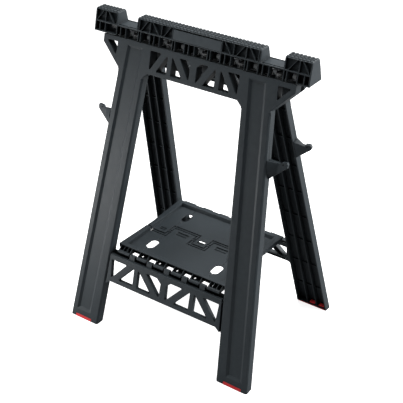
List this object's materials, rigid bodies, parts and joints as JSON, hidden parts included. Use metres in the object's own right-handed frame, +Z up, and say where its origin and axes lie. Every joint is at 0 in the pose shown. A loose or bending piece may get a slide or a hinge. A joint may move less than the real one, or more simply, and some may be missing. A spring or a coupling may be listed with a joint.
{
  "type": "folding sawhorse",
  "caption": "Folding plastic sawhorse with a notched ribbed top beam, truss-braced tapering legs, red non-slip feet, cord hooks and a fold-down slotted shelf",
  "frame": {"origin": "on the floor, under the middle of the top beam", "axes": "+Z up, +X along the top beam, +Y from the front leg frame to the rear one"},
  "size_m": [0.572, 0.403, 0.76],
  "materials": {
    "dark_plastic": "satin moulded polypropylene",
    "plate_plastic": "smooth satin",
    "red_rubber": "soft matte",
    "steel": "drawn bright"
  },
  "bodies": {
    "head": {"head_beam": "dark_plastic", "name_plate_front": "plate_plastic", "name_plate_rear": "plate_plastic", "head_rod": "steel"},
    "front_legs": {"front_frame": "dark_plastic", "foot_front_left": "red_rubber", "foot_front_right": "red_rubber", "hook_front_left": "dark_plastic", "hook_front_right": "dark_plastic", "tray_front_pin": "steel"},
    "rear_legs": {"rear_frame": "dark_plastic", "foot_rear_left": "red_rubber", "foot_rear_right": "red_rubber", "hook_rear_left": "dark_plastic", "hook_rear_right": "dark_plastic"},
    "shelf_front": {"tray_front": "dark_plastic", "tray_pin_2": "steel", "tray_pin_4": "steel"},
    "shelf_rear": {"tray_rear": "dark_plastic", "tray_rear_pin": "steel", "tray_pin_1": "steel", "tray_pin_3": "steel", "tray_pin_5": "steel"}
  },
  "joints": [
    {"name": "front_frame_fold", "type": "hinge", "parent": "head", "child": "front_legs", "pos_m": [0, 0, 0.712], "axis": [1, 0, 0], "range_deg": [0, 14]},
    {"name": "rear_frame_fold", "type": "hinge", "parent": "head", "child": "rear_legs", "pos_m": [0, 0, 0.712], "axis": [1, 0, 0], "range_deg": [-14, 0]},
    {"name": "shelf_front_fold", "type": "hinge", "parent": "front_legs", "child": "shelf_front", "pos_m": [0, -0.139, 0.2025], "axis": [1, 0, 0], "range_deg": [0, 71.01]},
    {"name": "shelf_middle_fold", "type": "hinge", "parent": "shelf_front", "child": "shelf_rear", "pos_m": [0, 0, 0.203], "axis": [1, 0, 0], "range_deg": [-170.01, 0]}
  ],
  "couplings": [
    {"joint": "rear_frame_fold", "follows": "front_frame_fold", "ratio": -1},
    {"joint": "shelf_front_fold", "follows": "front_frame_fold", "ratio": 5.0716},
    {"joint": "shelf_middle_fold", "follows": "front_frame_fold", "ratio": -12.143}
  ]
}
